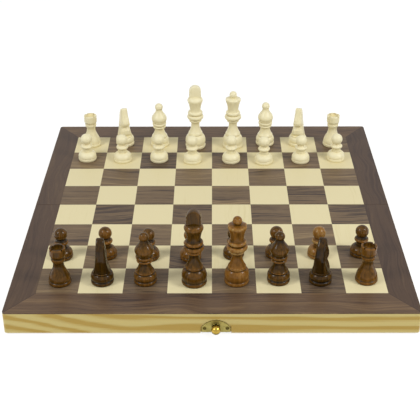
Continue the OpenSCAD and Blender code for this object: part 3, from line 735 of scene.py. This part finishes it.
def pale_floor(looks):
    """White photographer's sheet. It lights the object from below and keeps a faint shadow.

    The camera sees it as thin, so that the half that folds down under it shows through, and light passes
    it. A little glow that only direct looks see lifts its far, dimmer part to white.
    """
    material = blank_material("white_sheet")
    rays = add_node(material, "LightPath").outputs
    thinned = {0: rays["Is Camera Ray"], 1: -THIN, 2: 1.0}
    opaque = add_node(material, "Math", thinned, operation="MULTIPLY_ADD")
    unlit = {0: opaque, 1: rays["Is Shadow Ray"]}
    solid = add_node(material, "Math", unlit, operation="SUBTRACT", use_clamp=True)
    white = add_node(material, "BsdfDiffuse", {"Color": (*looks.floor, 1)})
    glow = add_node(material, "Math", {0: seen_directly(material), 1: looks.glow}, operation="MULTIPLY")
    lift = add_node(material, "Emission", {"Color": (1, 1, 1, 1), "Strength": glow})
    lit = add_node(material, "AddShader", {0: white, 1: lift})
    clear = add_node(material, "BsdfTransparent")
    both = add_node(material, "MixShader", {0: solid, 1: clear, 2: lit})
    add_node(material, "OutputMaterial", {"Surface": both})
    return material


# ---- the CAD nodes ----


def give(material, *names):
    """Puts one material on CAD nodes."""
    for name in names:
        mesh = frame["nodes"][name].data
        mesh.materials.clear()
        mesh.materials.append(material)


def body_of_node(name):
    """The CAD body that a node rides on."""
    return next(body for body, nodes in frame["record"]["behaviour"]["bodies"].items() if name in nodes)


def men_of(kind):
    """The names of the men of one kind, of both colours."""
    return sorted(n for n in frame["nodes"] if n.startswith((f"dark_{kind}_", f"light_{kind}_")))


# ---- operators ----


class CHESSBOX_OT_trays(Operator):
    """Finish the rails and panels of both trays, and line them with felt."""

    bl_idname = "chessbox.trays"
    bl_label = "Trays"

    def execute(self, context):
        looks = context.scene.chessbox_wood
        long_rails = "box_front_rail", "box_hinge_rail", "lid_back_rail", "lid_hinge_rail"
        give(pine("pine_along_x", looks, "X"), *long_rails)
        give(pine("pine_along_y", looks, "Y"), "box_end_rails", "lid_end_rails")
        give(birch_plywood(looks), "box_panel", "lid_panel")
        felt = pressed_felt(looks)
        for half in ("box", "lid"):
            low, high = node_box(f"{half}_felt")
            piece = mesh_piece(f"{half}_lining", *felt_sheet(low, high), felt, half, smooth_angle=60)
            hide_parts(f"{half}_felt")
        return {"FINISHED"}


class CHESSBOX_OT_playing_surface(Operator):
    """Finish the border and the squares as walnut and maple veneer."""

    bl_idname = "chessbox.playing_surface"
    bl_label = "Playing surface"

    def execute(self, context):
        looks = context.scene.chessbox_wood
        walnut = tuple(looks.walnut_light), tuple(looks.walnut_mid), tuple(looks.walnut_dark)
        maple = tuple(looks.maple_light), tuple(looks.maple_light), tuple(looks.maple_dark)
        redder = 0.94, 0.84, 0.8  # the border's sheet against the squares', channel by channel
        reddish = [tuple(c * k for c, k in zip(tone, redder)) for tone in walnut]
        streaky, faint = 0.32, 0.9
        give(veneer("walnut_border", reddish, "border", streaky), "box_border", "lid_border")
        give(veneer("walnut_squares", walnut, "level", streaky), "box_dark_squares", "lid_dark_squares")
        give(veneer("maple_squares", maple, "upright", faint), "box_light_squares", "lid_light_squares")
        return {"FINISHED"}


class CHESSBOX_OT_hinges(Operator):
    """Finish the two butt hinges, their pins and their screws as brass."""

    bl_idname = "chessbox.hinges"
    bl_label = "Hinges"

    def execute(self, context):
        looks = context.scene.chessbox_fittings
        brass = polished_brass("brass_strip", looks.brass, looks.tarnish_and_shade, roughness=0.36)
        give(brass, "box_hinge_leaves", "lid_hinge_leaves", "hinge_pins")
        give(brass, "box_hinge_screws", "lid_hinge_screws")
        return {"FINISHED"}


class CHESSBOX_OT_clasp(Operator):
    """Finish the clasp: dull plates, pin and tongue, a bright knob and dark screws, all of brass."""

    bl_idname = "chessbox.clasp"
    bl_label = "Clasp"

    def execute(self, context):
        looks = context.scene.chessbox_fittings
        sheet = polished_brass("brass_sheet", looks.sheet, looks.tarnish_and_shade, roughness=0.5)
        give(sheet, "catch_plate", "hasp_plate", "hasp_pin", "hasp_tongue")
        place = node_box("catch_knob")
        # The knob's finish paints shade on its underside and a shadow round its neck.
        knob = polished_brass("turned_brass", looks.brass, looks.tarnish_and_shade, roughness=0.24, knob=place)
        give(knob, "catch_knob")
        screws = polished_brass("screw_brass", looks.tarnish_and_shade, looks.tarnish_and_shade, roughness=0.4)
        give(screws, "catch_screws", "hasp_screws")
        return {"FINISHED"}


# How the men came out of the stain or the lathe, from 0, dark, to 1, pale: each kind, and the dark men that
# took the stain their own way.
DARK_TONES = {"king": 0.12, "queen": 0.6, "bishop": 0.25, "knight": 0.0, "rook": 0.35, "pawn": 0.25}
LIGHT_TONES = {"king": 0.75, "queen": 0.7, "bishop": 0.8, "knight": 0.8, "rook": 0.6, "pawn": 0.85}
OWN_TONES = {
    "dark_pawn_a7": 0.15,
    "dark_pawn_b7": 0.95,
    "dark_pawn_d7": 0.1,
    "dark_pawn_e7": 0.45,
    "dark_pawn_g7": 0.35,
    "dark_rook_a8": 0.4,
    "dark_bishop_c8": 0.1,
}
FILE_STEP = 0.12  # how far the tone of like men differs from file to file

# How far each knight is turned from facing the other side, in degrees.
KNIGHT_TURNS = {"dark_knight_b8": -25, "light_knight_g1": 20, "light_knight_b1": -15}


def stand_man(name, grids, hollow, material):
    """Makes one man of its grids, turned to face the other side, on the place of its CAD node."""
    low, high = node_box(name)
    light = name.startswith("light_")
    turn = math.radians(KNIGHT_TURNS.get(name, 0) + 180 * light)
    points, faces = [], []
    count = 0
    for grid in grids:
        more, joined = closed_grid(grid)
        faces += [np.asarray(face) + count for face in joined]
        points.append(more)
        count += len(more)
    points = np.vstack(points)
    points[:, :2] = points[:, :2] @ [[math.cos(turn), math.sin(turn)], [-math.sin(turn), math.cos(turn)]]
    points += [(low[0] + high[0]) / 2, (low[1] + high[1]) / 2, low[2]]
    piece = mesh_piece(name.replace("_", "-"), points, faces, material, body_of_node(name))
    for attribute, values in (("hollow", hollow), ("tone", own_tone(name))):
        layer = piece.data.attributes.new(attribute, "FLOAT", "POINT")
        layer.data.foreach_set("value", np.broadcast_to(values, len(points)).astype(np.float32).copy())
    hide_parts(name)
    return piece


def own_tone(name):
    """A man's tone: that of its kind with a small step for its file, unless it has one of its own."""
    side, kind, square = name.split("_")
    tone = (LIGHT_TONES if side == "light" else DARK_TONES)[kind]
    return OWN_TONES.get(name, tone + FILE_STEP * math.sin(7.3 * ord(square[0])))


def men_material(context, light):
    """The finish of one colour of men, made once."""
    looks = context.scene.chessbox_men
    if light:
        name, gloss, lacquer = "boxwood_lacquered", 0.34, 1.4
        tones = looks.box_light, looks.box_light, looks.box_mid, looks.box_dark_and_groove_shade
    else:
        name, gloss, lacquer = "stained_beech_lacquered", 0.16, 1.27
        tones = looks.stain_rim_highlight, looks.stain_light, looks.stain_mid, looks.stain_dark_and_groove_shade
    if name in bpy.data.materials:
        return bpy.data.materials[name]
    return lacquered_men(name, [tuple(tone) for tone in tones], gloss, lacquer)


def turn_men(context, kind, profile_of, grid_of=None, extra=None):
    """Turns every man of a kind to its CAD node's height and foot radius, with any grid that stands on it.

    How hollow each point lies comes from the profile. The two points that close a grid's ends are level.
    """
    turns = context.scene.chessbox_men.turns
    for name in men_of(kind):
        low, high = node_box(name)
        h, radius = high[2] - low[2], (high[0] - low[0]) / 2
        profile = profile_of(radius, h)
        grid = grid_of(profile, turns, h) if grid_of else turned(profile, angles(turns))
        # How hollow each point lies, from which the finish paints shade in the grooves and a highlight on the
        # rims.
        rings = hollowness(profile)
        hollow = [np.repeat(rings, grid.shape[1]), [0, 0]]
        grids = [grid]
        if extra:
            grids.append(extra(radius, h))
            hollow.append(np.zeros(grids[1][..., 0].size + 2))
        stand_man(name, grids, np.concatenate(hollow), men_material(context, name.startswith("light_")))


class CHESSBOX_OT_pawns(Operator):
    """Turn the sixteen pawns."""

    bl_idname = "chessbox.pawns"
    bl_label = "Pawns"

    def execute(self, context):
        turn_men(context, "pawn", pawn_profile)
        return {"FINISHED"}


class CHESSBOX_OT_rooks(Operator):
    """Turn the four rooks and notch their towers."""

    bl_idname = "chessbox.rooks"
    bl_label = "Rooks"

    def execute(self, context):
        turn_men(context, "rook", rook_profile, rook_grid)
        return {"FINISHED"}


class CHESSBOX_OT_knights(Operator):
    """Turn the feet of the four knights and carve their horses' heads."""

    bl_idname = "chessbox.knights"
    bl_label = "Knights"

    def execute(self, context):
        turn_men(context, "knight", knight_profile, extra=knight_grid)
        return {"FINISHED"}


class CHESSBOX_OT_bishops(Operator):
    """Turn the four bishops."""

    bl_idname = "chessbox.bishops"
    bl_label = "Bishops"

    def execute(self, context):
        turn_men(context, "bishop", bishop_profile)
        return {"FINISHED"}


class CHESSBOX_OT_queens(Operator):
    """Turn the two queens and scallop their coronets."""

    bl_idname = "chessbox.queens"
    bl_label = "Queens"

    def execute(self, context):
        turn_men(context, "queen", queen_profile, queen_grid)
        return {"FINISHED"}


class CHESSBOX_OT_kings(Operator):
    """Turn the two kings and set a finial on each crown."""

    bl_idname = "chessbox.kings"
    bl_label = "Kings"

    def execute(self, context):
        turn_men(context, "king", king_profile, extra=finial_grid)
        return {"FINISHED"}


# The photograph's camera, from the corners of the board and its squares: its place from the fold line's
# middle on the playing surface, in mm, and its turn, in degrees.
CAMERA_AT = (0.8, -866.3, 494.4)
CAMERA_DOWN = 30.046
CAMERA_LEFT = 0.115
CAMERA_ROLL = 0.128
SENSOR_MM = 36

# The soft lamps: degrees round from the front towards the right, and the share of the power. Both stand at
# the same height, in degrees, and distance, in metres.
LAMPS = {"lamp_left": (-58, 0.9), "lamp_right": (62, 1.1)}
LAMP_UP, LAMP_AWAY, LAMP_SIZE = 42, 1.2, 0.32

FLOOR_REACH = 6.0  # metres from the middle to each edge


class CHESSBOX_OT_stage(Operator):
    """Set the camera, the soft lamps, the white surroundings and the pale floor."""

    bl_idname = "chessbox.stage"
    bl_label = "Stage"

    def execute(self, context):
        looks = context.scene.chessbox_stage
        scene = context.scene
        camera = bpy.data.objects.new("camera", bpy.data.cameras.new("camera"))
        camera.data.sensor_width, camera.data.lens = SENSOR_MM, looks.focal_length
        camera.location = [v * MM for v in (CAMERA_AT[0], CAMERA_AT[1] + FOLD_Y, CAMERA_AT[2] + SURFACE_Z)]
        camera.rotation_mode = "XYZ"
        camera.rotation_euler = [math.radians(v) for v in (90 - CAMERA_DOWN, CAMERA_ROLL, CAMERA_LEFT)]
        scene.collection.objects.link(camera)
        scene.camera = camera

        up = math.radians(LAMP_UP)
        out, height = LAMP_AWAY * math.cos(up), LAMP_AWAY * math.sin(up)
        for name, (azimuth, share) in LAMPS.items():
            lamp = bpy.data.lights.new(name, "AREA")
            lamp.shape, lamp.size, lamp.energy = "SQUARE", LAMP_SIZE, looks.lamp * share
            holder = bpy.data.objects.new(name, lamp)
            turn = math.radians(azimuth)
            holder.location = (out * math.sin(turn), -out * math.cos(turn), height)
            holder.rotation_euler = (math.pi / 2 - up, 0, turn)
            scene.collection.objects.link(holder)

        world = bpy.data.worlds.new("white_surroundings")
        world.use_nodes = True
        world.node_tree.nodes.clear()
        strength = add_node(world, "Mix", {0: seen_directly(world), 2: looks.sky, 3: 1.0})
        white = add_node(world, "Background", {"Color": (1, 1, 1, 1), "Strength": strength})
        add_node(world, "OutputWorld", {"Surface": white})
        scene.world = world

        floor_mesh = bpy.data.meshes.new("floor")
        corners = [(x * FLOOR_REACH, y * FLOOR_REACH, 0) for x, y in ((-1, -1), (1, -1), (1, 1), (-1, 1))]
        floor_mesh.from_pydata(corners, [], [(0, 1, 2, 3)])
        floor_mesh.materials.append(pale_floor(looks))
        floor = bpy.data.objects.new("floor", floor_mesh)
        scene.collection.objects.link(floor)

        scene.view_settings.view_transform = "Standard"
        return {"FINISHED"}


# ---- the steps in order, the sidebar and the run ----

STEPS = (
    CHESSBOX_OT_trays,
    CHESSBOX_OT_playing_surface,
    CHESSBOX_OT_hinges,
    CHESSBOX_OT_clasp,
    CHESSBOX_OT_pawns,
    CHESSBOX_OT_rooks,
    CHESSBOX_OT_knights,
    CHESSBOX_OT_bishops,
    CHESSBOX_OT_queens,
    CHESSBOX_OT_kings,
    CHESSBOX_OT_stage,
)


class CHESSBOX_PT_sidebar(Panel):
    """The steps and their settings, in the sidebar."""

    bl_idname = "CHESSBOX_PT_sidebar"
    bl_label = "Chess box"
    bl_space_type = "VIEW_3D"
    bl_region_type = "UI"
    bl_category = "Chess box"

    def draw(self, context):
        for group in GROUPS:
            settings = getattr(context.scene, group)
            for name in settings.bl_rna.properties.keys():
                if name not in ("rna_type", "name"):
                    self.layout.prop(settings, name)
        for step in STEPS:
            self.layout.operator(step.bl_idname)


GROUPS = {
    "chessbox_wood": WoodLooks,
    "chessbox_men": MenLooks,
    "chessbox_fittings": FittingLooks,
    "chessbox_stage": StageLooks,
}


def register():
    """Registers the settings, the steps and the sidebar."""
    for group, kind in GROUPS.items():
        bpy.utils.register_class(kind)
        setattr(bpy.types.Scene, group, PointerProperty(type=kind))
    for kind in (*STEPS, CHESSBOX_PT_sidebar):
        bpy.utils.register_class(kind)


def unregister():
    """Takes them away again."""
    for kind in (CHESSBOX_PT_sidebar, *reversed(STEPS)):
        bpy.utils.unregister_class(kind)
    for group, kind in reversed(GROUPS.items()):
        delattr(bpy.types.Scene, group)
        bpy.utils.unregister_class(kind)


def main():
    """Runs every step."""
    register()
    for step in STEPS:
        category, action = step.bl_idname.split(".")
        getattr(getattr(bpy.ops, category), action)()


if __name__ == "__main__":
    main()
